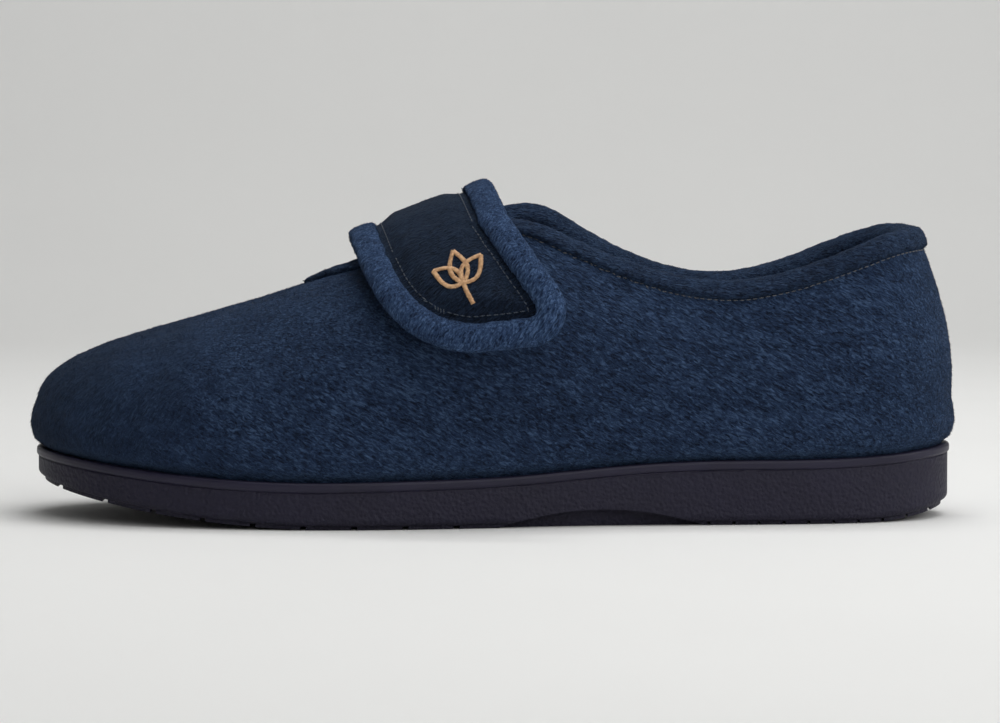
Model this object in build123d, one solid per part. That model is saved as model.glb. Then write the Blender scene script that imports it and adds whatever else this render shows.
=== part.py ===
from build123d import *

# A closed-back house slipper for the left foot, with one hook-and-loop strap over the instep.
# X runs from the toe (-X) to the heel (+X), Y from the outer side (-Y) to the inner side (+Y)
# and Z up from the ground. The origin is the bottom centre of the whole slipper's box.
# All sizes are in millimetres.

import math
import os

import numpy as np

os.makedirs("parts", exist_ok=True)

# ---------------------------------------------------------------- driving sizes
gap = 0.2  # room between neighbouring layers
full_columns, part_columns, patch_columns = 129, 49, 17  # points along a layer of the upper
layer_rows = 13  # points up it
lip_wall = 2.2  # thickness of the sole's rim
lip_height = 5.0  # how far the rim stands above the platform that carries the foot
feather_inset = 5.0  # from the sole's outline to the upper's lower edge

shell_thick = 1.8  # fleece outer
interlining_thick = 1.1
stiffener_thick = 0.8  # toe puff and heel counter
lining_thick = 1.1

binding_thick = 1.2
binding_fold = 4.0  # how far the topline binding reaches down each side
binding_crown = 2.4  # height of its roll above the wall's raw edge
thread_thick = 0.35
thread_wide = 0.8

strap_slope = 21.0  # degrees that the strap's own frame is turned up from the ground
strap_origin = (-20.5, 0.0, 88.0)
strap_face_thick = 1.3
strap_foam_thick = 1.0
strap_backing_thick = 0.8
strap_layer_gap = 0.1
strap_edge = 1.3  # from the strap's outline to its raw edge inside the binding
strap_binding_thick = 1.1
strap_binding_wide = 8.0
hook_thick = 1.1
loop_thick = 1.0

board_thick = 1.6
foam_thick = 4.5
cover_thick = 1.3

tread_depth = 0.9
tread_width = 1.7
tread_pitch = 14.5
wall_foot = 1.2  # height of the sole wall's lower edge above the ground
tread_inset = 2.4  # from the sole's outline to the tread's side
bead_height = 2.8  # smooth rolled lip round the top of the sole's wall
foot_round, bead_round = 1.6, 0.9
wall_inset = 0.5  # how far the wall stands behind that lip
waist_x = 31.5  # middle of the scallops in the sole's sides
scallop_radius = 90.0
scallop_rise = 5.0
footbed_inset = 10.6  # from the sole's outline to the board's edge


# ---------------------------------------------------------------- the upper's net
# Stations run round the foot from the back of the heel, along the outer side to the toe and back
# along the inner side. Each has the sole's outline, then the belly, shoulder and topline points
# that bend the wall as it rises.
stations = {
    "heel_back": ((135.0, -1.0), (140.5, -1.0, 37), (133.8, -1.0, 62), (125.3, -0.5, 82.8)),
    "heel_outer": ((124.0, -23.5), (129.5, -27.5, 35), (125.5, -24.5, 60), (116.2, -18.5, 81.3)),
    "rear_outer": ((93.0, -34.5), (96.0, -40.0, 34), (98.5, -34.0, 57), (95.0, -25.0, 73.5)),
    "mid_outer": ((50.0, -38.5), (52.0, -43.5, 32), (58.0, -38.0, 54), (62.0, -27.5, 68.5)),
    "waist_outer": ((8.0, -45.0), (10.0, -51.0, 38), (17.0, -44.5, 66), (25.0, -27.0, 79.5)),
    "ball_outer": ((-38.0, -52.5), (-36.0, -57.5, 36), (-14.0, -47.0, 67), (2.0, -24.0, 86.0)),
    "fore_outer": ((-84.0, -47.5), (-86.0, -55.0, 38), (-66.0, -40.0, 56.8), (-27.0, -16.0, 77.0)),
    "toe_outer": ((-120.0, -28.0), (-128.5, -38.0, 42), (-98.0, -25.0, 51.5), (-45.0, -8.0, 71.5)),
    "toe_tip": ((-135.0, 4.0), (-148.5, 4.0, 50), (-113.0, 2.0, 48.8), (-51.0, 0.0, 68.8)),
    "toe_inner": ((-121.0, 33.0), (-129.5, 43.0, 42), (-98.0, 27.0, 51.5), (-45.0, 8.0, 71.5)),
    "fore_inner": ((-86.0, 47.5), (-89.0, 54.0, 38), (-66.0, 39.0, 57.2), (-27.0, 15.5, 77.5)),
    "ball_inner": ((-46.0, 46.5), (-44.0, 52.0, 36), (-14.0, 44.0, 69), (6.0, 24.0, 89.3)),
    "waist_inner": ((0.0, 36.5), (4.0, 43.0, 38), (14.0, 40.0, 67), (27.0, 26.0, 81.8)),
    "mid_inner": ((45.0, 31.0), (50.0, 37.0, 32), (57.0, 35.0, 54), (62.0, 27.0, 68.8)),
    "rear_inner": ((92.0, 32.0), (95.0, 37.0, 34), (98.0, 33.0, 58), (95.0, 23.5, 75.5)),
    "heel_inner": ((124.0, 22.0), (128.5, 26.0, 36), (125.0, 23.5, 62), (116.2, 17.5, 82.8)),
}
around = len(stations)

# Side view of the sole: height of its rim's top edge, and of its underside, along X.
rim_line = [(-136, 20.4), (-116, 18.2), (-90, 15.4), (-58, 13.6), (-25, 13.9), (8, 15.0),
            (32, 17.0), (60, 18.6), (92, 18.8), (118, 20.0), (136, 21.8)]
flat_front, flat_back = -45.0, 106.0  # ends of the stretch of sole that is flat on the ground
toe_spring, toe_power = 0.00268, 1.85
heel_spring = 0.0051


def smooth_line(points):
    """A natural cubic through (x, z) points, as a function of x."""
    x, z = np.array(points, float).T
    h = np.diff(x)
    n = len(x)
    matrix, right = np.eye(n), np.zeros(n)
    for i in range(1, n - 1):
        matrix[i, i - 1:i + 2] = h[i - 1], 2 * (h[i - 1] + h[i]), h[i]
        right[i] = 6 * ((z[i + 1] - z[i]) / h[i] - (z[i] - z[i - 1]) / h[i - 1])
    bend = np.linalg.solve(matrix, right)

    def at(value):
        i = int(np.clip(np.searchsorted(x, value) - 1, 0, n - 2))
        a, b = (x[i + 1] - value) / h[i], (value - x[i]) / h[i]
        curve = ((a**3 - a) * bend[i] + (b**3 - b) * bend[i + 1]) * h[i] ** 2 / 6
        return a * z[i] + b * z[i + 1] + curve

    return at


rim_height = smooth_line(rim_line)


def closed_loop(points):
    """A periodic cubic through the stations' points, as a function of the station number."""
    p = np.array(points, float)
    n = len(p)
    matrix = 4 * np.eye(n) + np.roll(np.eye(n), 1, axis=0) + np.roll(np.eye(n), -1, axis=0)
    bend = np.linalg.solve(matrix, 6 * (np.roll(p, -1, axis=0) - 2 * p + np.roll(p, 1, axis=0)))

    def at(station):
        i = int(math.floor(station)) % n
        j = (i + 1) % n
        b = station - math.floor(station)
        a = 1 - b
        return a * p[i] + b * p[j] + ((a**3 - a) * bend[i] + (b**3 - b) * bend[j]) / 6

    return at


outline_loop = closed_loop([s[0] for s in stations.values()])


def outline(station, inset=0.0):
    """A point of the sole's plan outline, moved in by inset."""
    step = 0.01
    p = outline_loop(station)
    along = outline_loop(station + step) - outline_loop(station - step)
    along /= np.linalg.norm(along)
    outward = np.array([-along[1], along[0]])
    return p - outward * inset


def feather_point(station):
    x, y = outline(station, feather_inset)
    return np.array([x, y, rim_height(x) - lip_height + gap])


net = [
    feather_point,
    closed_loop([s[1] for s in stations.values()]),
    closed_loop([s[2] for s in stations.values()]),
    closed_loop([s[3] for s in stations.values()]),
]


def wall(station, rise):
    """The upper's outer surface: rise goes from 0 at the sole to 1 at the topline."""
    fall = 1 - rise
    weights = fall**3, 3 * fall**2 * rise, 3 * fall * rise**2, rise**3
    return sum(w * loop(station) for w, loop in zip(weights, net))


def wall_normal(station, rise):
    step = 0.004
    low, high = max(rise - step, 0), min(rise + step, 1)
    across = wall(station + step, rise) - wall(station - step, rise)
    up = wall(station, high) - wall(station, low)
    n = np.cross(up, across)
    return n / np.linalg.norm(n)


def wall_at(station, rise, depth):
    """A point inside the wall, depth below its outer surface."""
    return wall(station, rise) - wall_normal(station, rise) * depth


# ---------------------------------------------------------------- solids from the net
def skin(points):
    """A smooth face through rows of points."""
    rows = [[Vector(*p) for p in row] for row in points]
    return Face.make_surface_from_array_of_points(rows, tol=0.01, min_deg=3, max_deg=8)


def side_edges(face, points):
    """The face's four edges, in the order first row, last row, first column, last column."""
    corners = points[0][0], points[0][-1], points[-1][0], points[-1][-1]
    a, b, c, d = (Vector(*p) for p in corners)
    found = []
    for start, end in ((a, b), (c, d), (a, c), (b, d)):
        middle = (start + end) / 2
        near = [e for e in face.edges()
                if min((e @ 0 - start).length, (e @ 1 - start).length) < 0.05
                and min((e @ 0 - end).length, (e @ 1 - end).length) < 0.05]
        found.append(min(near, key=lambda e: (e @ 0.5 - middle).length))
    return found


def slab(outer_points, inner_points):
    """A closed solid between two grids of points with the same number of rows and columns."""
    outer, inner = skin(outer_points), skin(inner_points)
    sides = [Face.make_surface_from_curves(a, b)
             for a, b in zip(side_edges(outer, outer_points), side_edges(inner, inner_points))]
    solid = Solid(Shell([outer, inner, *sides]))
    if solid.volume < 0:
        solid = Solid(solid.wrapped.Reversed())
    return solid


def wall_layer(outer_depth, inner_depth, first, last, low, high, columns, rows=layer_rows):
    """A layer of the upper between two depths, from station first to last and rise low to high."""
    along = np.linspace(first, last, columns)

    def grid(depth):
        return [[wall_at(s, r, depth) for r in np.linspace(low(s), high(s), rows)] for s in along]

    return slab(grid(outer_depth), grid(inner_depth))


def level(rise):
    """A rise that stays the same at every station."""
    return lambda station: rise


def below_topline(distance):
    """The rise at a distance below the wall's top edge, as a function of the station."""

    def rise(station):
        step = 0.02
        length = np.linalg.norm(wall(station, 1) - wall(station, 1 - step))
        return 1 - distance * step / length

    return rise


# ---------------------------------------------------------------- sole
def plan_block(inset):
    """A tall upright block with the sole's outline, moved in by inset."""
    count = 2 * around
    ring = [Vector(*outline(i * around / count, inset), -20) for i in range(count)]
    return extrude(Face(Wire(Spline(*ring, periodic=True))), amount=70, dir=(0, 0, 1))


def side_band(low, high):
    """Everything between two lines of (x, z) points, each with a lift, across the whole width."""
    reach = 160.0
    lines = []
    for points, lift in (low, high):
        ends = (-reach, points[0][1]), *points, (reach, points[-1][1])
        lines.append(Spline(*[Vector(x, -reach, z + lift) for x, z in ends]))
    lower, upper = lines
    sides = Line(lower @ 0, upper @ 0), Line(lower @ 1, upper @ 1)
    face = Face(Wire([lower, sides[1], upper, sides[0]]))
    return extrude(face, amount=2 * reach, dir=(0, 1, 0))


def ground_height(x):
    """Height of the tread's underside, which rises at the toe and at the back of the heel."""
    if x < flat_front:
        return toe_spring * (flat_front - x) ** toe_power
    return heel_spring * max(x - flat_back, 0) ** 2


ground = [(float(x), ground_height(x)) for x in np.linspace(-136, 136, 24)]


def longest_edges(solid, count):
    return sorted(solid.edges(), key=lambda e: -e.length)[:count]


def tread_profile():
    """The side profile of the tread: a level top, and an underside notched by the grooves."""
    grooves = []
    x = -126.0
    while x < 128:
        fine = x > 55
        if not 0 < x < 60:
            grooves.append((x, tread_width / 2 if fine else tread_width))
        x += tread_pitch / 2 if fine else tread_pitch
    line = [(-140.0, ground_height(-140.0))]
    for x, width in grooves:
        left, right = x - width / 2, x + width / 2
        steps = np.linspace(line[-1][0], left, 5)[1:]
        line += [(float(v), ground_height(v)) for v in steps]
        line += [(left, ground_height(left) + tread_depth)]
        line += [(right, ground_height(right) + tread_depth)]
        line += [(right, ground_height(right))]
    line += [(float(v), ground_height(v)) for v in np.linspace(line[-1][0], 140.0, 4)[1:]]
    return line


def make_tread():
    top = [(x, ground_height(x) + wall_foot + 1) for x in np.linspace(140, -140, 29)]
    ring = [Vector(x, -80, z) for x, z in (*tread_profile(), *top)]
    profile = extrude(Face(Wire(Polyline(*ring, close=True))), amount=160, dir=(0, 1, 0))
    return plan_block(tread_inset) & profile


def make_outsole():
    """The moulded cup sole: wall, rolled lip, tread, and the hollow that takes the foot."""
    wall_part = plan_block(wall_inset) & side_band((ground, wall_foot), (rim_line, -bead_height))
    low_edge = min(longest_edges(wall_part, 2), key=lambda e: e.center().Z)
    wall_part = fillet(low_edge, foot_round)
    bead = plan_block(0) & side_band((rim_line, -bead_height), (rim_line, 0))
    bead = fillet(longest_edges(bead, 2), bead_round)
    cup = plan_block(lip_wall) & side_band((rim_line, -lip_height), (rim_line, 30))
    scallop = Pos(waist_x, 0, scallop_rise - scallop_radius) * Rot(90, 0, 0)
    scallop = scallop * Cylinder(scallop_radius, 200) - plan_block(tread_inset + 2)
    return wall_part + bead - cup + make_tread() - scallop


def make_footbed_layer(base, thick, inset):
    """A layer of the footbed, base above the platform inside the sole's rim."""
    low = base - lip_height
    return plan_block(inset) & side_band((rim_line, low), (rim_line, low + thick))


# ---------------------------------------------------------------- upper
first, last = 0.01, around - 0.01  # the back seam
layer_2 = shell_thick + gap
layer_3 = layer_2 + interlining_thick + gap
layer_4 = layer_3 + stiffener_thick + gap
inside = layer_4 + lining_thick
puff_span, puff_rise = (5.8, 10.2), (level(0.02), level(0.42))
counter_span, counter_rise = (-2.4, 2.4), (level(0.02), level(0.75))


def make_upper_layer(depth, thick):
    return wall_layer(depth, depth + thick, first, last, level(0), level(1), full_columns)


def make_toe_puff():
    return wall_layer(layer_3, layer_3 + stiffener_thick, *puff_span, *puff_rise, part_columns)


def make_heel_counter():
    return wall_layer(layer_3, layer_3 + stiffener_thick, *counter_span, *counter_rise, part_columns)


def make_topline_binding():
    """The strip folded over the upper's raw top edge, in one run from the back seam."""
    fold = below_topline(binding_fold)
    half = inside / 2

    def section(station, depth):
        """Up the outer leg, over the roll and down the inner leg."""
        side = half + gap + depth
        crown = binding_crown - binding_thick + depth
        legs = [fold(station) + (1 - fold(station)) * i / 5 for i in range(5)]
        top = wall_at(station, 1, half)
        n = wall_normal(station, 1)
        up = wall(station, 1) - wall(station, 0.99)
        up = up - n * np.dot(up, n)
        up /= np.linalg.norm(up)
        roll = [math.pi * i / 12 for i in range(13)]
        points = [wall_at(station, r, half - side) for r in legs]
        points += [top + n * side * math.cos(a) + up * crown * math.sin(a) for a in roll]
        points += [wall_at(station, r, half + side) for r in reversed(legs)]
        return points

    columns = np.linspace(first, last, full_columns)
    return slab(
        [section(s, binding_thick) for s in columns],
        [section(s, 0) for s in columns],
    )


def make_topline_stitching():
    depth = -gap - binding_thick - gap
    low, high = below_topline(binding_fold - 0.6), below_topline(binding_fold - 0.6 - thread_wide)
    return wall_layer(depth - thread_thick, depth, first, last, low, high, full_columns, 4)


# The loop patch on the outer side, under the strap's tip.
patch = {"first": 4.22, "last": 4.98, "low": 0.6, "high": 0.78}


def make_loop_patch():
    low, high = level(patch["low"]), level(patch["high"])
    return wall_layer(-gap - loop_thick, -gap, patch["first"], patch["last"], low, high, patch_columns)


# ---------------------------------------------------------------- strap
# The strap has its own frame: x across its width, y over the foot and z away from it. Its
# section is one arch, and each layer is a band of that arch.
tilt = math.radians(strap_slope)
strap_plane = Plane(
    origin=strap_origin,
    x_dir=(math.cos(tilt), 0, math.sin(tilt)),
    z_dir=(-math.sin(tilt), 0, math.cos(tilt)),
)
arch_points = [
    (-54.0, -48.0), (-53.6, -41.0), (-52.2, -34.0), (-48.3, -25.2), (-44.0, -19.4), (-39.6, -15.1),
    (-35.3, -11.5), (-30.8, -8.6), (-26.0, -6.2), (-20.0, -3.8), (-12.0, -2.2), (0.0, -1.5),
    (12.0, -1.6), (20.0, -2.4), (26.5, -4.2), (31.5, -7.0), (35.5, -10.1), (39.0, -14.4),
    (43.0, -19.2), (46.8, -26.0), (49.0, -34.0), (49.6, -42.0),
]
outer_hinge_y = -33.0
inner_hinge_y = 35.5
hinge_gap = 0.4

arch_run = np.linalg.norm(np.diff(np.array(arch_points), axis=0), axis=1)
arch_places = np.concatenate([[0], np.cumsum(arch_run)])
arch_y = smooth_line([(s, p[0]) for s, p in zip(arch_places, arch_points)])
arch_z = smooth_line([(s, p[1]) for s, p in zip(arch_places, arch_points)])


def arch(place, height=0.0):
    """A (y, z) point of the strap's section, at a place along its underside and a height above."""
    step = 0.05
    dy = arch_y(place + step) - arch_y(place - step)
    dz = arch_z(place + step) - arch_z(place - step)
    length = math.hypot(dy, dz)
    return arch_y(place) - height * dz / length, arch_z(place) + height * dy / length


def place_at(y):
    """The place along the underside where the arch crosses y."""
    places = np.linspace(0, arch_places[-1], 2000)
    return float(np.interp(y, [arch_y(p) for p in places], places))


outer_hinge, inner_hinge = place_at(outer_hinge_y), place_at(inner_hinge_y)
tip_span = (0.3, outer_hinge - hinge_gap / 2)
bridge_span = (outer_hinge + hinge_gap / 2, inner_hinge - hinge_gap / 2)
anchor_span = (inner_hinge + hinge_gap / 2, arch_places[-1] - 0.3)

foam_low = strap_backing_thick + strap_layer_gap
face_low = foam_low + strap_foam_thick + strap_layer_gap
face_high = face_low + strap_face_thick
binding_low = -strap_layer_gap - strap_binding_thick
binding_high = face_high + strap_layer_gap + strap_binding_thick

# Outlines seen square on: open runs of corners, with the radius of each corner between its ends.
tip_corners = [(-23.1, 10.0), (-16.1, -35.7), (34.2, -48.6), (18.7, 10.0)], [33.0, 10.0]
anchor_corners = [(-22.9, 10.0), (-24.9, -38.0), (19.2, -38.0), (21.2, 10.0)], [5.0, 5.0]
bridge_corners = [(-20.3, -39.0), (-23.8, 41.0), (20.3, 41.0), (23.6, -39.0)], [0.0, 0.0]


def inset_run(corners, inset):
    """An open run of corners moved to its left by inset."""
    p = np.array(corners, float)
    way = np.diff(p, axis=0)
    way /= np.linalg.norm(way, axis=1)[:, None]
    left = np.column_stack([-way[:, 1], way[:, 0]])
    moved = [p[0] + left[0] * inset]
    for i in range(1, len(p) - 1):
        both = left[i - 1] + left[i]
        moved.append(p[i] + both * inset / (1 + np.dot(left[i - 1], left[i])))
    moved.append(p[-1] + left[-1] * inset)
    return moved


def outline_block(shape, inset, to_space, along):
    """A long prism with an outline, moved in by inset. to_space puts an outline point in space."""
    corners, radii = shape
    p = inset_run(corners, inset)
    edges, start = [], p[0]
    for i, radius in enumerate(radii, 1):
        before = (p[i - 1] - p[i]) / np.linalg.norm(p[i - 1] - p[i])
        after = (p[i + 1] - p[i]) / np.linalg.norm(p[i + 1] - p[i])
        r = max(radius - inset, 0.8) if radius else 0
        if not r:
            edges.append(Line(to_space(start), to_space(p[i])))
            start = p[i]
            continue
        half = math.acos(np.dot(before, after)) / 2
        back = r / math.tan(half)
        a, b = p[i] + before * back, p[i] + after * back
        middle = before + after
        m = p[i] + middle / np.linalg.norm(middle) * (r / math.sin(half) - r)
        edges.append(Line(to_space(start), to_space(a)))
        edges.append(ThreePointArc(to_space(a), to_space(m), to_space(b)))
        start = b
    edges.append(Line(to_space(start), to_space(p[-1])))
    edges.append(Line(to_space(p[-1]), to_space(p[0])))
    return extrude(Face(Wire(edges)), amount=90, dir=along)


def tip_block(inset):
    return outline_block(tip_corners, inset, lambda p: Vector(p[0], -100, p[1]), (0, 1, 0))


def anchor_block(inset):
    return outline_block(anchor_corners, inset, lambda p: Vector(p[0], 100, p[1]), (0, -1, 0))


def bridge_block(inset):
    """The bridge's block, turned so that its run goes from the outer to the inner side."""
    corners = bridge_corners[0]
    p = [*corners[:2]], [*corners[2:]]
    front = inset_run(p[0], -inset)
    back = inset_run(p[1], -inset)
    ring = [Vector(x, y, -40) for x, y in (*front, *back)]
    return extrude(Face(Wire(Polyline(*ring, close=True))), amount=80, dir=(0, 0, 1))


def strap_band(span, low, high):
    """A band of the strap over a span of places, between two heights above its underside."""
    reach = 60.0
    places = np.linspace(*span, 25)
    under = Spline(*[Vector(-reach, *arch(p, low)) for p in places])
    over = Spline(*[Vector(-reach, *arch(p, high)) for p in places])
    sides = Line(under @ 0, over @ 0), Line(under @ 1, over @ 1)
    face = Face(Wire([under, sides[1], over, sides[0]]))
    return extrude(face, amount=2 * reach, dir=(1, 0, 0))


def strap_layers(block, span):
    """The backing, foam and face of one length of the strap."""
    core = block(strap_edge)
    return (
        strap_band(span, 0, strap_backing_thick) & core,
        strap_band(span, foam_low, foam_low + strap_foam_thick) & core,
        strap_band(span, face_low, face_high) & core,
    )


def strap_binding(block, span):
    """The strip folded round the edge of one length of the strap."""
    ring = strap_band(span, binding_low, binding_high) & block(0)
    longer = (span[0] - 1, span[1] + 1)
    slot = strap_band(longer, -strap_layer_gap, face_high + strap_layer_gap)
    return ring - block(strap_binding_wide) - (slot & block(strap_edge - strap_layer_gap))


def strap_thread(block, span, inset):
    """A run of stitching on the strap's face, inset from its edge."""
    low = face_high + strap_layer_gap
    band = strap_band(span, low, low + thread_thick)
    return band & (block(inset) - block(inset + thread_wide))


def make_hook_tape():
    low = -2 * strap_layer_gap - hook_thick
    return strap_band((8.5, outer_hinge - 6.0), low, low + hook_thick) & tip_block(9.0)


def make_emblem():
    """Three embroidered leaves that meet at a short stem."""
    leaves = Pos(0, 0, -1.6) * Box(1.3, 90, 4.4)
    for turn, length in ((-52, 9.5), (0, 11.0), (52, 9.5)):
        leaf = scale(Cylinder(1, 90), by=(2.3, length / 2, 1))
        leaves = leaves + Rot(0, turn, 0) * Pos(0, 0, length / 2) * Rot(90, 0, 0) * leaf
    low = face_high + strap_layer_gap
    return strap_band(tip_span, low, low + 0.6) & Pos(5.9, -60, -23.0) * leaves


def make_patch_stitching():
    """One run of thread round the loop patch, just inside its edge."""
    depth = -2 * gap - loop_thick

    def block(high_depth, low_depth, side, end):
        low, high = level(patch["low"] + side), level(patch["high"] - side)
        starts = patch["first"] + end, patch["last"] - end
        return wall_layer(high_depth, low_depth, *starts, low, high, patch_columns)

    ring = block(depth - thread_thick, depth, 0.016, 0.04)
    return ring - block(depth - 1, depth + 1, 0.030, 0.075)


# ---------------------------------------------------------------- the slipper
def build_nodes():
    board_base = gap
    foam_base = board_base + board_thick + gap
    cover_base = foam_base + foam_thick + gap
    nodes = {
        "outsole": make_outsole(),
        "insole_board": make_footbed_layer(board_base, board_thick, footbed_inset),
        "footbed_foam": make_footbed_layer(foam_base, foam_thick, footbed_inset - 0.4),
        "footbed_cover": make_footbed_layer(cover_base, cover_thick, footbed_inset - 0.8),
        "upper_shell": make_upper_layer(0, shell_thick),
        "upper_interlining": make_upper_layer(layer_2, interlining_thick),
        "toe_puff": make_toe_puff(),
        "heel_counter": make_heel_counter(),
        "upper_lining": make_upper_layer(layer_4, lining_thick),
        "topline_binding": make_topline_binding(),
        "topline_stitching": make_topline_stitching(),
        "loop_patch": make_loop_patch(),
        "loop_patch_stitching": make_patch_stitching(),
    }
    strap = {}
    lengths = {
        "strap_anchor": (anchor_block, anchor_span),
        "strap_bridge": (bridge_block, bridge_span),
        "strap_tip": (tip_block, tip_span),
    }
    for name, (block, span) in lengths.items():
        backing, foam, face = strap_layers(block, span)
        strap[name + "_backing"], strap[name + "_foam"], strap[name + "_face"] = backing, foam, face
        trims = {
            "binding": strap_binding(block, span),
            "stitching": strap_thread(block, span, strap_binding_wide + 1.4),
        }
        for kind, trim in trims.items():
            runs = trim.solids().sort_by(Axis.X)
            if len(runs) == 1:
                strap[f"{name}_{kind}"] = runs[0]
            else:
                strap[f"{name}_front_{kind}"], strap[f"{name}_back_{kind}"] = runs
    strap["hook_tape"] = make_hook_tape()
    strap["strap_emblem"] = make_emblem()
    for name, solid in strap.items():
        nodes[name] = strap_plane.location * solid
    return nodes


def write_parts():
    nodes = build_nodes()
    box = Compound(children=[Compound(obj=s.wrapped) for s in nodes.values()]).bounding_box()
    shift = Pos(-(box.min.X + box.max.X) / 2, -(box.min.Y + box.max.Y) / 2, -box.min.Z)
    print("moved by", shift.position)
    for name, solid in nodes.items():
        export_step(shift * solid, f"parts/{name}.step")
        print(name, round(solid.volume, 1))


if __name__ == "__main__":
    write_parts()
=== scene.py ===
import math

import bpy
import numpy as np
from mathutils import Matrix, Vector
from mathutils.bvhtree import BVHTree


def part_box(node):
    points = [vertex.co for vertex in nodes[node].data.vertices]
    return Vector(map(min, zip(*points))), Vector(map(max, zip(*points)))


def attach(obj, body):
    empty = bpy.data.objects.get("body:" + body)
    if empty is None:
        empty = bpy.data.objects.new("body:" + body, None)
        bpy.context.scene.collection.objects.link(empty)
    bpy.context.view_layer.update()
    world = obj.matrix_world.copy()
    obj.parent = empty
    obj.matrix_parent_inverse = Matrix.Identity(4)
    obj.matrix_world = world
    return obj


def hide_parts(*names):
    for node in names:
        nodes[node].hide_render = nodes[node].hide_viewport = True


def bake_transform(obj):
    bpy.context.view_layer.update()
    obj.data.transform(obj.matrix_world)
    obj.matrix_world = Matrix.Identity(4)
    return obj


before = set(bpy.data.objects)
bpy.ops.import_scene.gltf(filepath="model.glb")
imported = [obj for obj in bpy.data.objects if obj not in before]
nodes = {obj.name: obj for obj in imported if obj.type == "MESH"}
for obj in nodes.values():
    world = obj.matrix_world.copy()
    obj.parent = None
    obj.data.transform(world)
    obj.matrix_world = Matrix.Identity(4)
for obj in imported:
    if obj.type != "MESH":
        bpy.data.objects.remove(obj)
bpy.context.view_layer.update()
scene = bpy.context.scene
mm = 0.001


# small tools

def pick(*pieces):
    # only these are selected, and the first is active
    bpy.ops.object.select_all(action="DESELECT")
    for piece in pieces:
        piece.select_set(True)
    bpy.context.view_layer.objects.active = pieces[0]


def addModifier(piece, kind, **settings):
    # adds a modifier, sets it and applies it
    pick(piece)
    modifier = piece.modifiers.new(kind.lower(), kind)
    for key, value in settings.items():
        setattr(modifier, key, value)
    bpy.ops.object.modifier_apply(modifier=modifier.name)


def copyNodes(name, *names):
    # one new piece from the meshes of CAD nodes, with their doubles merged
    copies = []
    for node in names:
        piece = nodes[node].copy()
        piece.data = nodes[node].data.copy()
        piece.parent = None
        piece.matrix_world = Matrix.Identity(4)
        for key in list(piece.keys()):
            if key.startswith("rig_"):
                del piece[key]
        scene.collection.objects.link(piece)
        piece.hide_viewport = False
        piece.hide_render = False
        copies.append(piece)
    pick(*copies)
    if len(copies) > 1:
        bpy.ops.object.join()
    piece = bpy.context.view_layer.objects.active
    piece.name = name
    piece.data.name = name
    piece.data.materials.clear()
    bpy.ops.object.mode_set(mode="EDIT")
    bpy.ops.mesh.select_all(action="SELECT")
    bpy.ops.mesh.remove_doubles(threshold=0.00001)
    bpy.ops.mesh.customdata_custom_splitnormals_clear()
    bpy.ops.object.mode_set(mode="OBJECT")
    return piece


def addLumps(piece, lumps):
    # makes a cloth uneven: each pair is the size and the depth of one set of lumps
    for size, depth in lumps:
        clouds = bpy.data.textures.new(piece.name + "Lumps", "CLOUDS")
        clouds.noise_scale = size
        addModifier(piece, "DISPLACE", texture=clouds, strength=depth, mid_level=0.5,
                    texture_coords="LOCAL")


def clothFrom(name, names, voxel, smooth, swell=0.0, lumps=()):
    # soft cloth from plain solids: remeshed, rounded, swollen a little, and made uneven.
    # A layer too thin for a voxel keeps its own mesh
    piece = copyNodes(name, *names)
    if voxel:
        addModifier(piece, "REMESH", mode="VOXEL", voxel_size=voxel)
    addModifier(piece, "SMOOTH", factor=0.5, iterations=smooth)
    if swell:
        addModifier(piece, "DISPLACE", strength=swell, mid_level=0.0)
    addLumps(piece, lumps)
    pick(piece)
    bpy.ops.object.shade_smooth()
    return piece


def surfaceOf(*pieces):
    # a tree that finds the nearest point of some pieces
    spots, faces = [], []
    for piece in pieces:
        start = len(spots)
        spots += [v.co.copy() for v in piece.data.vertices]
        faces += [[start + v for v in p.vertices] for p in piece.data.polygons]
    return BVHTree.FromPolygons(spots, faces)


def moveEach(piece, shift):
    # moves every point by shift(point, normal)
    moves = [shift(v.co, v.normal) for v in piece.data.vertices]
    for vertex, move in zip(piece.data.vertices, moves):
        vertex.co += move
    piece.data.update()


def ease(value):
    value = min(max(value, 0), 1)
    return value * value * (3 - 2 * value)


def templateOf(kind, **settings):
    # the points and faces of a primitive, as arrays
    bpy.ops.object.select_all(action="DESELECT")
    getattr(bpy.ops.mesh, f"primitive_{kind}_add")(**settings)
    thing = bpy.context.active_object
    spots = np.array([v.co for v in thing.data.vertices])
    faces = [list(p.vertices) for p in thing.data.polygons]
    bpy.data.objects.remove(thing)
    return spots, faces


def scatter(name, template, spots, frames):
    # one mesh of many copies: a frame holds each copy's three axes, with their lengths
    shape, faces = template
    points = np.einsum("pk,nkc->npc", shape, np.array(frames)) + np.array(spots)[:, None, :]
    count = len(shape)
    allFaces = [[v + count * i for v in face] for i in range(len(spots)) for face in faces]
    mesh = bpy.data.meshes.new(name)
    mesh.from_pydata(points.reshape(-1, 3).tolist(), [], allFaces)
    piece = bpy.data.objects.new(name, mesh)
    scene.collection.objects.link(piece)
    pick(piece)
    bpy.ops.object.shade_smooth()
    return piece


def routeOf(node, key, steps):
    # the middle line of a CAD thread: its points averaged in slices of a running number
    spots = [v.co for v in nodes[node].data.vertices]
    keys = [key(p) for p in spots]
    low, high = min(keys), max(keys)
    slices = [[] for _ in range(steps)]
    for spot, value in zip(spots, keys):
        slices[min(int((value - low) / (high - low) * steps), steps - 1)].append(spot)
    return [sum(s, Vector()) / len(s) for s in slices if s]


def spaced(route, pitch):
    # places every pitch along a route, each with the way it runs there
    places, left = [], pitch / 2
    for a, b in zip(route, route[1:]):
        run = (b - a).length
        while left < run:
            places.append((a.lerp(b, left / run), (b - a).normalized()))
            left += pitch
        left -= run
    return places


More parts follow.
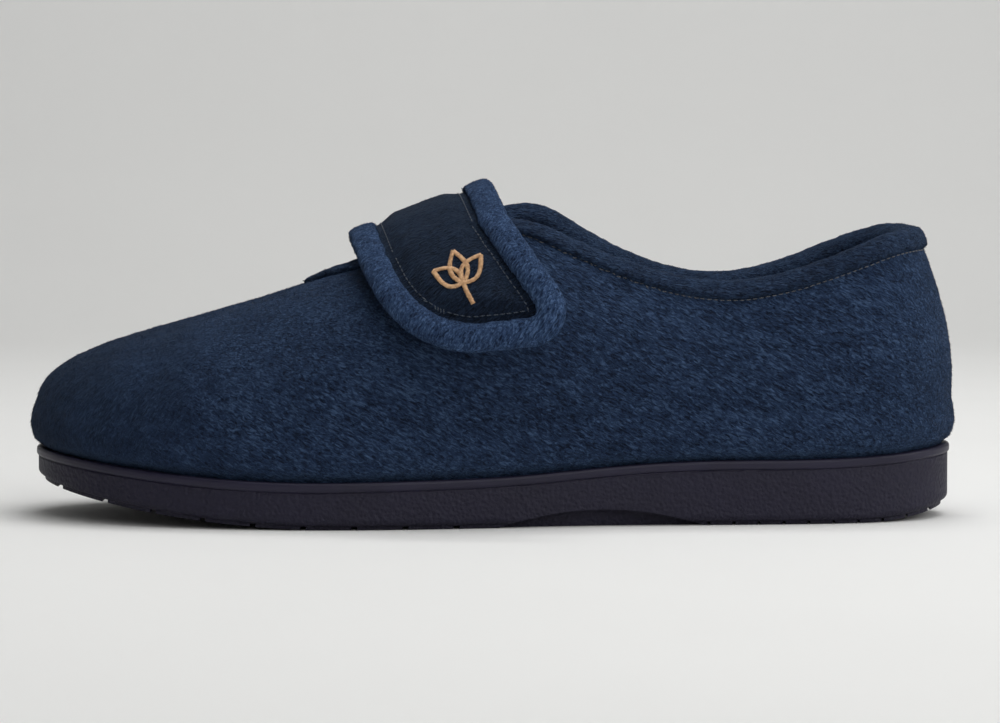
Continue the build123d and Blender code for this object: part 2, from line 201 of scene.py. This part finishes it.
def axesOn(normal, way, sizes):
    # three axes on a surface: along the way, across it and up, scaled by sizes
    along = (way - normal * way.dot(normal)).normalized()
    return [along * sizes[0], normal.cross(along) * sizes[1], normal * sizes[2]]


def dress(piece, finish):
    piece.data.materials.clear()
    piece.data.materials.append(finish)
    return piece


# finishes

class Wire:
    # a socket that takes sums: each operator adds a Math node
    def __init__(self, tree, socket):
        self.tree, self.socket = tree, socket

    def sum(self, operation, first, second=None):
        node = self.tree.nodes.new("ShaderNodeMath")
        node.operation = operation
        for place, value in enumerate((first, second)):
            if isinstance(value, Wire):
                self.tree.links.new(value.socket, node.inputs[place])
            elif value is not None:
                node.inputs[place].default_value = value
        return Wire(self.tree, node.outputs[0])

    def __add__(self, other):
        return self.sum("ADD", self, other)

    def __sub__(self, other):
        return self.sum("SUBTRACT", self, other)

    def __rsub__(self, other):
        return self.sum("SUBTRACT", other, self)

    def __mul__(self, other):
        return self.sum("MULTIPLY", self, other)

    def __truediv__(self, other):
        return self.sum("DIVIDE", self, other)

    def __gt__(self, other):
        return self.sum("GREATER_THAN", self, other)

    __radd__, __rmul__ = __add__, __mul__


class Finish:
    # one material: its nodes come from node(), and its shader takes fixed and varying values
    def __init__(self, name, **fixed):
        self.material = bpy.data.materials.new(name)
        self.material.use_nodes = True
        self.tree = self.material.node_tree
        self.tree.nodes.clear()
        self.shader = self.tree.nodes.new("ShaderNodeBsdfPrincipled")
        output = self.tree.nodes.new("ShaderNodeOutputMaterial")
        self.tree.links.new(self.shader.outputs[0], output.inputs[0])
        for key, value in fixed.items():
            self.shader.inputs[key.replace("_", " ")].default_value = value

    def node(self, kind, settings=None, output=0, **values):
        node = self.tree.nodes.new("ShaderNode" + kind)
        for key, value in (settings or {}).items():
            if key == "stops":
                ramp = node.color_ramp
                while len(ramp.elements) < len(value):
                    ramp.elements.new(0.5)
                for element, (spot, shade) in zip(ramp.elements, value):
                    element.position = spot
                    element.color = shade if len(shade) == 4 else (*shade, 1)
            else:
                setattr(node, key, value)
        for key, value in values.items():
            socket = node.inputs[int(key[2:]) if key.startswith("in") else key.replace("_", " ")]
            if isinstance(value, Wire):
                self.tree.links.new(value.socket, socket)
            else:
                socket.default_value = value
        return Wire(self.tree, node.outputs[output])

    def place(self, turn=(0, 0, 0), stretch=(1, 1, 1), move=(0, 0, 0)):
        spot = self.node("TexCoord", output=3)
        turned = self.node("Mapping", Vector=spot, Rotation=[math.radians(a) for a in turn],
                           Location=move)
        return self.node("VectorMath", {"operation": "MULTIPLY"}, in0=turned, in1=stretch)

    def noise(self, where, scale, detail=3.0, rough=0.55, twist=0.0):
        return self.node("TexNoise", Vector=where, Scale=scale, Detail=detail, Roughness=rough,
                         Distortion=twist)

    def ramp(self, value, low, high, ease="SMOOTHSTEP"):
        return self.node("MapRange", {"interpolation_type": ease}, Value=value, From_Min=low,
                         From_Max=high)

    def mix(self, factor, first, second, kind="MIX"):
        node = self.tree.nodes.new("ShaderNodeMix")
        node.data_type = "RGBA"
        node.blend_type = kind
        for place, value in ((0, factor), (6, first), (7, second)):
            if isinstance(value, Wire):
                self.tree.links.new(value.socket, node.inputs[place])
            elif place:
                node.inputs[place].default_value = (*value, 1)
            else:
                node.inputs[place].default_value = value
        return Wire(self.tree, node.outputs[2])

    def bump(self, height, distance, strength=1.0, under=None):
        values = {"Height": height, "Distance": distance, "Strength": strength}
        if under:
            values["Normal"] = under
        return self.node("Bump", **values)

    def set(self, **links):
        for key, value in links.items():
            self.tree.links.new(value.socket, self.shader.inputs[key.replace("_", " ")])
        return self.material


# the darkest pile colour is painted shade down between the fibres and the lightest is a painted
# highlight on their ends; the middle one is the fleece's own navy
pile = {
    "shadedDeep": (0.0024, 0.0056, 0.0165),
    "body": (0.0125, 0.0255, 0.0610),
    "litTips": (0.0410, 0.0730, 0.1430),
    "stretchAlong": 480.0,
    "stretchAcross": 1700.0,
}


def fleeceFinish(name, shade=1.0, lean=-28.0, toeLean=58.0, fine=1.0):
    # brushed pile: short streaks that lean one way, swept another way round the toe
    f = Finish(name, Roughness=0.92, Sheen_Weight=0.14, Sheen_Roughness=0.38,
               Sheen_Tint=(0.30, 0.50, 0.85, 1), Specular_IOR_Level=0.12)
    along, across = pile["stretchAlong"] * fine, pile["stretchAcross"] * fine
    drift = f.noise(f.place(), 60.0, 2.0)
    spotA = f.place((0, lean, 0), (along, across, across))
    spotB = f.place((0, toeLean, 0), (along, across, across), (0.01, 0, 0))
    streakA = f.noise(spotA, 1.0, 4.0, 0.62, 0.9)
    streakB = f.noise(spotB, 1.0, 4.0, 0.62, 0.9)
    side = f.node("SeparateXYZ", Vector=f.node("TexCoord", output=3))
    toe = f.ramp(side + (drift - 0.5) * 0.10, -0.058, -0.128)
    streak = streakA * (1 - toe) + streakB * toe
    clump = f.noise(f.place((0, lean, 0), (130.0, 260.0, 260.0)), 1.0, 3.0, 0.6, 0.6)
    sweep = f.noise(f.place((0, lean, 0), (26.0, 40.0, 40.0), (0.3, 0, 0)), 1.0, 2.0)
    tone = f.ramp(streak * 0.86 + clump * 0.2 + sweep * 0.12, 0.46, 0.74, "LINEAR")
    # the colour follows the streaks and clumps that also make the bump: painted shade in their
    # hollows, painted highlight on their crests
    low = f.mix(f.ramp(tone, 0.0, 0.5), [c * shade for c in pile["shadedDeep"]],
                [c * shade for c in pile["body"]])
    colour = f.mix(f.ramp(tone, 0.45, 1.0), low, [c * shade for c in pile["litTips"]])
    # painted shade: round the toe the colour is pulled towards the darkest pile colour, for the side
    # turned away from the lamps
    colour = f.mix(toe * 0.66, colour, [c * shade * 0.8 for c in pile["shadedDeep"]])
    hump = f.bump(clump, 0.0012, 0.45)
    normal = f.bump(streak, 0.0016, 1.0, hump)
    return f.set(Base_Color=colour, Normal=normal, Roughness=0.86 + tone * 0.1)


def ribbonFinish(name, dark, light, grain=1600.0):
    # a plain woven or knitted ribbon with fine crossing threads
    f = Finish(name, Roughness=0.9, Sheen_Weight=0.25, Sheen_Roughness=0.4,
               Specular_IOR_Level=0.15)
    wale = f.noise(f.place((0, 20, 0), (0.5, 1, 1)), grain, 2.0)
    course = f.noise(f.place((0, -70, 0), (0.5, 1, 1)), grain, 2.0)
    cell = wale * 0.5 + course * 0.5
    cloud = f.noise(f.place(), 90.0, 3.0)
    colour = f.mix(f.ramp(cell * 0.7 + cloud * 0.3, 0.38, 0.64), dark, light)
    return f.set(Base_Color=colour, Normal=f.bump(cell, 0.0005, 0.6))


def threadFinish(name, dark, light):
    f = Finish(name, Roughness=0.6, Sheen_Weight=0.3, Specular_IOR_Level=0.35)
    ply = f.node("TexWave", {"wave_type": "BANDS", "bands_direction": "DIAGONAL"},
                 Vector=f.place(), Scale=900.0, Distortion=1.5)
    colour = f.mix(ply, dark, light)
    return f.set(Base_Color=colour, Normal=f.bump(ply, 0.0002, 0.6))


soleRim = [(-0.136, 20.4), (-0.116, 18.2), (-0.090, 15.4), (-0.058, 13.6), (-0.025, 13.9),
           (0.008, 15.0), (0.032, 17.0), (0.060, 18.6), (0.092, 18.8), (0.118, 20.0), (0.136, 21.8)]


def soleFinish():
    # moulded rubber: a smooth lip, a pebbled wall below it and a plain tread
    f = Finish("soleRubber", Roughness=0.5, Specular_IOR_Level=0.3, Coat_Weight=0.03,
               Coat_Roughness=0.4)
    spot = f.node("TexCoord", output=3)
    parts = [f.node("SeparateXYZ", output=i, Vector=spot) for i in range(3)]
    ramp = [((x + 0.136) / 0.272, [z / 25.0] * 3) for x, z in soleRim]
    rim = f.node("ValToRGB", {"stops": ramp}, Fac=f.ramp(parts[0], -0.136, 0.136, "LINEAR"))
    below = f.node("SeparateColor", Color=rim) * 0.025 - parts[2]
    wallPart = f.ramp(below, 0.0026, 0.0034)
    pebble = f.node("TexVoronoi", {"feature": "SMOOTH_F1"}, Vector=f.place(), Scale=900.0,
                    Smoothness=0.9, Randomness=1.0)
    grain = f.noise(f.place(), 1300.0, 3.0)
    cloud = f.noise(f.place(), 60.0, 3.0)
    height = (pebble * 0.7 + grain * 0.5) * wallPart
    # painted highlight: the lip above the wall is given a lighter colour than the wall, for the
    # light its rounded top catches
    base = f.mix(wallPart, (0.0145, 0.0125, 0.0330), (0.0105, 0.0090, 0.0255))
    worn = f.mix(f.ramp(cloud, 0.3, 0.75) * 0.6, base, (0.0080, 0.0068, 0.0190))
    normal = f.bump(height, 0.0006, 1.0)
    return f.set(Base_Color=worn, Normal=normal, Roughness=0.42 + wallPart * 0.14 + grain * 0.08)


def embroideryFinish():
    f = Finish("tanEmbroidery", Roughness=0.5, Sheen_Weight=0.3, Specular_IOR_Level=0.4)
    shine = f.noise(f.place(), 900.0, 2.0)
    colour = f.mix(f.ramp(shine, 0.3, 0.7), (0.46, 0.25, 0.12), (0.74, 0.47, 0.25))
    return f.set(Base_Color=colour, Normal=f.bump(shine, 0.0002, 0.5))


def foamFinish():
    f = Finish("softFoam", Roughness=0.95)
    cells = f.node("TexVoronoi", Vector=f.place(), Scale=1200.0)
    colour = f.mix(f.ramp(cells, 0.1, 0.7), (0.35, 0.35, 0.34), (0.62, 0.62, 0.60))
    return f.set(Base_Color=colour, Normal=f.bump(cells, 0.0003, 0.7))


def boardFinish():
    f = Finish("fibreBoard", Roughness=0.85)
    fibre = f.noise(f.place((0, 0, 12), (0.25, 1, 1)), 800.0, 4.0)
    colour = f.mix(f.ramp(fibre, 0.3, 0.7), (0.30, 0.22, 0.14), (0.48, 0.38, 0.26))
    return f.set(Base_Color=colour, Normal=f.bump(fibre, 0.0003, 0.5))


def feltFinish(name, dark, light):
    f = Finish(name, Roughness=0.95)
    fibre = f.noise(f.place((20, 0, 30), (0.4, 1, 1)), 1100.0, 4.0, 0.6, 1.0)
    colour = f.mix(f.ramp(fibre, 0.3, 0.7), dark, light)
    return f.set(Base_Color=colour, Normal=f.bump(fibre, 0.0003, 0.6))


finishes = {
    "upper": fleeceFinish("navyFleece", 1.35),
    # painted highlight: the standing fibres are a lighter copy of the upper's fleece
    "nap": fleeceFinish("navyNap", 1.75),
    # painted shade: the strap's face is a darker copy of the same fleece, dimmed where its top
    # catches the overhead lamp
    "strap": fleeceFinish("strapFleece", 0.45, 40.0, 40.0, 1.05),
    # the strap's binding is a lighter copy of the fleece: partly its own lighter colour, partly a
    # painted highlight along its roll
    "strapEdge": fleeceFinish("strapEdgeFleece", 2.35, 62.0, 62.0, 1.1),
    "binding": fleeceFinish("bindingFleece", 1.0, -8.0, -8.0, 1.2),
    "lining": fleeceFinish("liningKnit", 0.5, 10.0, 10.0, 1.3),
    "ribbon": ribbonFinish("backingRibbon", (0.006, 0.010, 0.020), (0.018, 0.028, 0.048)),
    "hook": ribbonFinish("hookTape", (0.004, 0.006, 0.011), (0.020, 0.026, 0.038), 900.0),
    "thread": threadFinish("seamThread", (0.020, 0.032, 0.055), (0.070, 0.095, 0.135)),
    "paleThread": threadFinish("paleThread", (0.050, 0.056, 0.070), (0.150, 0.160, 0.185)),
    "sole": soleFinish(),
    "embroidery": embroideryFinish(),
    "foam": foamFinish(),
    "board": boardFinish(),
    "felt": feltFinish("interliningFelt", (0.16, 0.16, 0.16), (0.34, 0.34, 0.34)),
    "stiffener": feltFinish("stiffenerSheet", (0.40, 0.38, 0.34), (0.58, 0.56, 0.50)),
}
print("finishes made")


# nap: short fibres that stand out of the fleece

nap = {"root": 0.2 * mm, "sunk": 0.1 * mm, "spread": 0.35, "seed": 4}
fibre = templateOf("cone", vertices=3, radius1=1, radius2=0, depth=1, location=(0, 0, 0.5))


def napOn(name, cloth, amount, length, comb, lift, outside):
    # fibres at random over the outside of a cloth, combed one way and lifted a little
    chance = np.random.RandomState(nap["seed"])
    cloth.data.calc_loop_triangles()
    triangles = cloth.data.loop_triangles
    areas = np.array([t.area for t in triangles])
    areas[[not outside(t.center, t.normal) for t in triangles]] = 0
    chosen = chance.choice(len(triangles), amount, p=areas / areas.sum())
    corners = [v.co for v in cloth.data.vertices]
    spots, frames = [], []
    for index in chosen:
        triangle = triangles[index]
        a, b, c = (corners[v] for v in triangle.vertices)
        u, v = sorted(chance.rand(2))
        spot = a * u + b * (v - u) + c * (1 - v)
        up = triangle.normal
        combed = comb(spot) + Vector(chance.normal(0, nap["spread"], 3))
        flat = combed - up * combed.dot(up)
        way = (flat.normalized() + up * lift * chance.uniform(0.4, 1.5)).normalized()
        side = way.cross(up).normalized()
        long = length * chance.uniform(0.6, 1.3)
        frames.append([side * nap["root"], way.cross(side) * nap["root"], way * long])
        spots.append(spot - up * nap["sunk"])
    return scatter(name, fibre, spots, frames)


# upper

upper = {"voxel": 1.25 * mm, "smooth": 4, "pile": 0.3 * mm,
         "fibres": 46000, "fibreLength": 2.0 * mm, "lift": 0.42,
         "lumps": [(12 * mm, 0.5 * mm), (3.5 * mm, 0.4 * mm)],
         "overhang": 1.9 * mm, "swellRise": 3.5 * mm, "fadeFrom": 6 * mm, "fadeOver": 9 * mm,
         "toeFrom": -66 * mm, "toeOver": 34 * mm}


def overhang(spot, normal):
    # the fleece swells out just above the sole's lip
    above = spot.z - np.interp(spot.x, *zip(*soleRim)) * mm
    fade = 1 - ease((above - upper["fadeFrom"]) / upper["fadeOver"])
    return normal * upper["overhang"] * ease(above / upper["swellRise"]) * fade


fleeceUpper = clothFrom("fleeceUpper", ["upper_shell"], upper["voxel"], upper["smooth"],
                        upper["pile"], upper["lumps"])
moveEach(fleeceUpper, overhang)
dress(fleeceUpper, finishes["upper"])
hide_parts("upper_shell")
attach(fleeceUpper, "slipper")


def combUpper(spot):
    # the pile leans back along the sides and is swept down round the toe
    toe = ease((upper["toeFrom"] - spot.x) / upper["toeOver"])
    return Vector((0.88, 0, -0.47)).lerp(Vector((0.45, 0, -0.9)), toe)


def facesOut(spot, normal):
    # whether a surface of the upper faces away from the foot
    middle = Vector((min(max(spot.x, -0.09), 0.095), 0.002, 0.03))
    return normal.dot(spot - middle) > 0


upperNap = napOn("upperNap", fleeceUpper, upper["fibres"], upper["fibreLength"], combUpper,
                 upper["lift"], facesOut)
dress(upperNap, finishes["nap"])
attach(upperNap, "slipper")

liningCloth = clothFrom("liningCloth", ["upper_lining"], None, 0, 0.0, [(6 * mm, 0.4 * mm)])
dress(liningCloth, finishes["lining"])
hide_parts("upper_lining")
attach(liningCloth, "slipper")

opening = {"voxel": 0.7 * mm, "smooth": 12, "swell": 0.6 * mm,
           "lumps": [(5 * mm, 0.5 * mm), (2.5 * mm, 0.3 * mm)],
           "fibres": 14000, "fibreLength": 1.5 * mm, "lift": 0.45, "comb": Vector((0.9, 0, -0.4))}
openingBinding = clothFrom("openingBinding", ["topline_binding"], opening["voxel"],
                           opening["smooth"], opening["swell"], opening["lumps"])
dress(openingBinding, finishes["binding"])
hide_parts("topline_binding")
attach(openingBinding, "slipper")
openingNap = napOn("openingNap", openingBinding, opening["fibres"], opening["fibreLength"],
                   lambda p: opening["comb"], opening["lift"], lambda p, n: True)
dress(openingNap, finishes["binding"])
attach(openingNap, "slipper")
print("upper made")


# stitches

stitch = {"long": 1.45 * mm, "wide": 0.34 * mm, "high": 0.3 * mm, "pitch": 1.9 * mm,
          "ringDrop": 2 * mm, "ringLift": 0.15 * mm, "strapLift": 0.12 * mm,
          "slices": {"ring": 160, "turn": 60, "straight": 30}}
bead = templateOf("uv_sphere", segments=8, ring_count=6, radius=0.5)


def stitchRow(name, cloth, places, lift, finish):
    # one rounded stitch at each place, pressed onto the cloth
    surface = surfaceOf(cloth)
    spots, frames = [], []
    for spot, way in places:
        near, normal = surface.find_nearest(spot)[:2]
        spots.append(near + normal * lift)
        frames.append(axesOn(normal, way, (stitch["long"], stitch["wide"], stitch["high"])))
    return dress(scatter(name, bead, spots, frames), finish)


openingMiddle = 35 * mm
ring = routeOf("topline_stitching", lambda p: math.atan2(p.y, p.x - openingMiddle) % math.tau,
               stitch["slices"]["ring"])
ring = [p - Vector((0, 0, stitch["ringDrop"])) for p in ring]
openingStitches = stitchRow("openingStitches", fleeceUpper, spaced(ring, stitch["pitch"]),
                            stitch["ringLift"], finishes["paleThread"])
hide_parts("topline_stitching")
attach(openingStitches, "slipper")
print("stitches made")


# strap

tilt = math.radians(21.0)
acrossFoot = Vector((math.cos(tilt), 0, math.sin(tilt)))
awayFromFoot = Vector((-math.sin(tilt), 0, math.cos(tilt)))
strapMiddle = Vector((-0.0207, 0.0022, 0.088))
strap = {"splitY": 12 * mm, "middleDepth": 45 * mm, "reach": 7 * mm,
         "faceVoxel": 0.75 * mm, "puff": 1.9 * mm, "puffFrom": 0.4 * mm, "puffReach": 7 * mm,
         "edgeVoxel": 0.7 * mm, "roll": 1.9 * mm, "rollFrom": 1.2 * mm, "rollWide": 9 * mm,
         "edgeLumps": [(5 * mm, 0.5 * mm), (2.2 * mm, 0.3 * mm)], "faceLumps": [(6 * mm, 0.5 * mm)],
         "edgeFibres": 13000, "edgeFibre": 1.6 * mm, "edgeLift": 0.45,
         "faceFibres": 6000, "faceFibre": 1.3 * mm, "faceLift": 0.35,
         "comb": Vector((0.62, 0, -0.78)), "turnDrop": 22 * mm}


def outOfStrap(spot):
    # the way out of the foot at a place on the strap, square to its length
    way = spot - (strapMiddle - awayFromFoot * strap["middleDepth"])
    return (way - acrossFoot * way.dot(acrossFoot)).normalized()


def splitStrap(piece, front, back):
    # cut across the bridge and closed, into two halves
    other = piece.copy()
    other.data = piece.data.copy()
    scene.collection.objects.link(other)
    for half, clearBehind in ((piece, False), (other, True)):
        pick(half)
        bpy.ops.object.mode_set(mode="EDIT")
        bpy.ops.mesh.select_all(action="SELECT")
        bpy.ops.mesh.bisect(plane_co=(0, strap["splitY"], 0), plane_no=(0, 1, 0), use_fill=True,
                            clear_inner=clearBehind, clear_outer=not clearBehind)
        bpy.ops.object.mode_set(mode="OBJECT")
        bpy.ops.object.shade_smooth()
    piece.name, other.name = front, back
    return piece, other


def bendStrap(tipHalf, sewnHalf):
    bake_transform(tipHalf)
    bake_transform(sewnHalf)


def halves(piece, kind):
    # splits a whole strap layer, which stands for its CAD nodes, hides these nodes and bakes the
    # halves' transforms into their meshes
    tipHalf, sewnHalf = splitStrap(piece, piece.name + "Tip", piece.name + "Sewn")
    for half, ends in ((tipHalf, ("tip", "bridge")), (sewnHalf, ("anchor",))):
        names = [n for n in nodes if any(n.startswith(f"strap_{e}") for e in ends)]
        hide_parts(*[n for n in names if n.split("_")[-1] in kind])
    bendStrap(tipHalf, sewnHalf)
    return tipHalf, sewnHalf


threads = [n for n in nodes if n.startswith("strap_") and n.endswith("stitching")]
threadLine = surfaceOf(*[nodes[n] for n in threads])
bindingNames = [n for n in nodes if n.startswith("strap_") and n.endswith("binding")]
faceNames = [n for n in nodes if n.startswith("strap_") and n.endswith("face")]
underNames = [n for n in nodes if n.startswith("strap_") and n.split("_")[-1] in ("backing", "foam")]
bindingSolids = surfaceOf(*[nodes[n] for n in bindingNames])


def roll(spot, normal):
    # the folded strip swells into a soft roll between its seam and its edge
    out = normal.dot(outOfStrap(spot))
    seam = max(threadLine.find_nearest(spot)[3] - strap["rollFrom"], 0)
    side = 1 - 0.75 * ease(outOfStrap(spot).dot(awayFromFoot) * 2 - 0.9)
    height = strap["roll"] * side * math.sin(math.pi * min(seam / strap["rollWide"], 1))
    return normal * height * ease(out + 0.3)


def puff(spot, normal):
    # the face stands full between the bindings, and dips at its seams
    if normal.dot(outOfStrap(spot)) < 0.2:
        return Vector()
    clear = bindingSolids.find_nearest(spot)[3]
    return normal * strap["puff"] * ease((clear - strap["puffFrom"]) / strap["puffReach"])


strapBinding = clothFrom("strapBinding", bindingNames, strap["edgeVoxel"], 10, 0.3 * mm)
moveEach(strapBinding, roll)
addModifier(strapBinding, "SMOOTH", factor=0.5, iterations=6)
addLumps(strapBinding, strap["edgeLumps"])
strapFace = clothFrom("strapFace", faceNames, strap["faceVoxel"], 4, 0.2 * mm)
moveEach(strapFace, puff)
addLumps(strapFace, strap["faceLumps"])
strapUnder = clothFrom("strapUnder", underNames, strap["edgeVoxel"], 2)
dress(strapBinding, finishes["strapEdge"])
dress(strapFace, finishes["strap"])
dress(strapUnder, finishes["ribbon"])


def combStrap(spot):
    return strap["comb"]


def outward(spot, normal):
    return normal.dot(outOfStrap(spot)) > -0.1


bindingNap = napOn("strapBindingNap", strapBinding, strap["edgeFibres"], strap["edgeFibre"],
                   combStrap, strap["edgeLift"], outward)
faceNap = napOn("strapFaceNap", strapFace, strap["faceFibres"], strap["faceFibre"],
                combStrap, strap["faceLift"], outward)
dress(bindingNap, finishes["strapEdge"])
dress(faceNap, finishes["strap"])


def tipTurn(p):
    # a running number round the curved end of the strap's run of thread
    q = p - strapMiddle
    turn = math.atan2(q.dot(awayFromFoot) + strap["turnDrop"], q.dot(acrossFoot)) - math.pi / 2
    return turn % math.tau


rows = []
for node in threads:
    turning = node in ("strap_tip_stitching", "strap_anchor_stitching")
    key = tipTurn if turning else (lambda p: p.y)
    slices = stitch["slices"]["turn" if turning else "straight"]
    rows += spaced(routeOf(node, key, slices), stitch["pitch"])
strapRows = []
for name, near in (("strapStitchesTip", True), ("strapStitchesSewn", False)):
    places = [r for r in rows if (r[0].y < strap["splitY"]) == near]
    row = stitchRow(name, strapFace, places, stitch["strapLift"], finishes["thread"])
    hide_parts(*[n for n in threads if ("anchor" not in n) == near])
    strapRows.append(row)
bendStrap(*strapRows)


# emblem: a small sprig in satin stitch

emblem = {"wide": 1.5 * mm, "pitch": 0.27 * mm, "thread": 0.42 * mm, "high": 0.7 * mm,
          "lift": 0.3 * mm, "drop": 1.5 * mm, "leaf": 9 * mm, "halfLeaf": 2.5 * mm,
          "turns": (-50.0, 2.0, 54.0), "stem": [(0.6 * mm, -6.5 * mm), (0, -2.5 * mm), (0, 0)]}
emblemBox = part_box("strap_emblem")
emblemMiddle = (Vector(emblemBox[0]) + Vector(emblemBox[1])) / 2
faceSurface = surfaceOf(strapFace)


def onFace(x, z):
    # the point of the strap's face at a place of the emblem
    start = emblemMiddle + acrossFoot * x + awayFromFoot * z
    start.y = -0.2
    spot, normal = faceSurface.ray_cast(start, Vector((0, 1, 0)))[:2]
    return spot, normal


def leafLine(turn):
    # up one side of a leaf and down the other
    steps = [i / 12 for i in range(13)]
    side = [(emblem["halfLeaf"] * math.sin(math.pi * t ** 0.8), emblem["leaf"] * t) for t in steps]
    line = side + [(-x, z) for x, z in reversed(side[:-1])]
    a = math.radians(turn)
    return [(x * math.cos(a) + z * math.sin(a), z * math.cos(a) - x * math.sin(a)) for x, z in line]


chance = np.random.RandomState(8)
spots, frames = [], []
for line in [leafLine(t) for t in emblem["turns"]] + [emblem["stem"]]:
    route = [Vector((x, 0, z - emblem["drop"])) for x, z in line]
    for place, way in spaced(route, emblem["pitch"]):
        spot, normal = onFace(place.x, place.z)
        run = acrossFoot * way.x + awayFromFoot * way.z
        across = normal.cross(run).normalized() + run * chance.normal(0, 0.06)
        long = emblem["wide"] * chance.uniform(0.93, 1.08)
        spots.append(spot + normal * emblem["lift"])
        frames.append(axesOn(normal, across, (long, emblem["thread"], emblem["high"])))
strapEmblem = scatter("strapEmblem", bead, spots, frames)
dress(strapEmblem, finishes["embroidery"])
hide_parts("strap_emblem")
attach(strapEmblem, "strap_tip")

for half in halves(strapFace, ("face",)):
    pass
halves(strapUnder, ("backing", "foam"))
halves(strapBinding, ("binding",))
halves(faceNap, ())
halves(bindingNap, ())
print("strap made")


# footbed: a soft sock over foam, dished where the heel and the ball of the foot rest

footbed = {"voxel": 1.4 * mm, "lumps": [(20 * mm, 0.5 * mm)], "middle": 2.2 * mm,
           "heel": 85 * mm, "heelWide": 34 * mm, "ball": -55 * mm, "ballWide": 45 * mm,
           "rise": 0.9 * mm, "edgeFrom": 12 * mm, "edgeOver": 30 * mm, "dish": 0.7 * mm}
footbedPad = clothFrom("footbedPad", ["footbed_cover", "footbed_foam"], footbed["voxel"], 3, 0.0,
                       footbed["lumps"])


def dish(spot, normal):
    # the top sinks under the heel and the ball, and rises along its edge
    if normal.z < 0.3:
        return Vector()
    side = spot.y - footbed["middle"]
    heel = ease(1 - math.hypot(spot.x - footbed["heel"], side) / footbed["heelWide"])
    ball = ease(1 - math.hypot(spot.x - footbed["ball"], side) / footbed["ballWide"])
    edge = ease((abs(side) - footbed["edgeFrom"]) / footbed["edgeOver"])
    return Vector((0, 0, footbed["rise"] * edge - footbed["dish"] * (heel + 0.6 * ball)))


moveEach(footbedPad, dish)
dress(footbedPad, finishes["lining"])
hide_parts("footbed_cover", "footbed_foam")
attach(footbedPad, "slipper")
print("footbed made")


# CAD nodes that stay

keep = {
    "outsole": "sole", "insole_board": "board",
    "upper_interlining": "felt", "toe_puff": "stiffener", "heel_counter": "stiffener",
    "hook_tape": "hook", "loop_patch": "hook", "loop_patch_stitching": "thread",
}
for node, finish in keep.items():
    nodes[node].data.materials.clear()
    nodes[node].data.materials.append(finishes[finish])


# studio

studio = {"floor": 3.0, "back": 1.5, "wall": 2.5, "bend": 0.6, "world": 0.14,
          "spot": (0.0022, -1.1978, 0.118), "aim": (0.0022, 0.0022, 0.045), "lens": 146.4}

f = Finish("paleCard", Roughness=0.95, Specular_IOR_Level=0.2)
paper = f.noise(f.place(), 6.0, 2.0)
cardFinish = f.set(Base_Color=f.mix(paper, (0.80, 0.80, 0.79), (0.83, 0.83, 0.82)))
bpy.ops.object.select_all(action="DESELECT")
bpy.ops.mesh.primitive_plane_add(size=studio["floor"] * 2, location=(0, 0, 0))
card = bpy.context.active_object
card.name = "card"
for vertex in card.data.vertices:
    if vertex.co.y > 0:
        vertex.co.y = studio["back"]
for edge in card.data.edges:
    edge.select = all(card.data.vertices[v].co.y > 1 for v in edge.vertices)
bpy.ops.object.mode_set(mode="EDIT")
bpy.ops.mesh.select_mode(type="EDGE")
bpy.ops.mesh.extrude_region_move(TRANSFORM_OT_translate={"value": (0, 0.4, studio["wall"])})
bpy.ops.object.mode_set(mode="OBJECT")
addModifier(card, "BEVEL", width=studio["bend"], segments=16, limit_method="ANGLE")
pick(card)
bpy.ops.object.shade_smooth()
card.data.materials.append(cardFinish)


def aimAt(thing, place):
    # sets a camera or a lamp at its spot, facing its aim
    way = Vector(place["aim"]) - Vector(place["spot"])
    thing.location = place["spot"]
    thing.rotation_euler = way.to_track_quat("-Z", "Y").to_euler()


cameraData = bpy.data.cameras.new("camera")
cameraData.lens = studio["lens"]
cameraData.sensor_width = 36.0
camera = bpy.data.objects.new("camera", cameraData)
scene.collection.objects.link(camera)
aimAt(camera, studio)
scene.camera = camera

lamps = {
    "overhead": {"spot": (0.2, -0.05, 1.1), "aim": (0, 0, 0), "size": 1.0, "power": 8.8},
    "frontFill": {"spot": (0.5, -1.4, 0.8), "aim": (0, 0, 0.05), "size": 0.9, "power": 5},
    "rightFill": {"spot": (1.3, -0.3, 0.6), "aim": (0, 0, 0.05), "size": 0.9, "power": 6},
    "backLight": {"spot": (0.05, 0.5, 1.5), "aim": (0.05, 1.9, 0.3), "size": 0.5, "power": 5.0},
}
for name, lamp in lamps.items():
    data = bpy.data.lights.new(name, "AREA")
    data.shape = "SQUARE"
    data.size = lamp["size"]
    data.energy = lamp["power"]
    light = bpy.data.objects.new(name, data)
    scene.collection.objects.link(light)
    aimAt(light, lamp)

world = bpy.data.worlds.new("room")
scene.world = world
world.use_nodes = True
background = world.node_tree.nodes["Background"]
background.inputs[0].default_value = (0.9, 0.92, 0.95, 1)
background.inputs[1].default_value = studio["world"]
scene.view_settings.view_transform = "Standard"
print("studio made")
